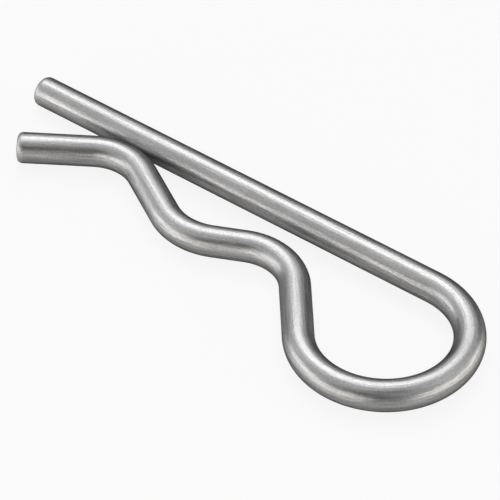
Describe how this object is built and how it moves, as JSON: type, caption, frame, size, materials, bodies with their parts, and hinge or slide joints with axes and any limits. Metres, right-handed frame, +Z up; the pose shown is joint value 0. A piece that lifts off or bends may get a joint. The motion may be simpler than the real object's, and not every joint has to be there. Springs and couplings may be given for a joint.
{
  "type": "hitch r clip pin",
  "caption": "Bent spring-wire retaining clip: a straight leg for a cross hole, a round spring loop, and a curved leg that hugs the shaft.",
  "frame": {"origin": "on the ground, under the middle of the outline of the clip lying flat", "axes": "+X along the straight leg, from its cut end to the loop; +Z up, across the flat of the clip; the curved leg is on the -Y side of the straight leg"},
  "size_m": [0.0744, 0.0248, 0.004],
  "materials": {
    "spring_wire": "tumbled stainless spring wire, satin with a soft sheen along the drawing direction"
  },
  "bodies": {
    "root": {"r_clip": "spring_wire"}
  },
  "joints": []
}
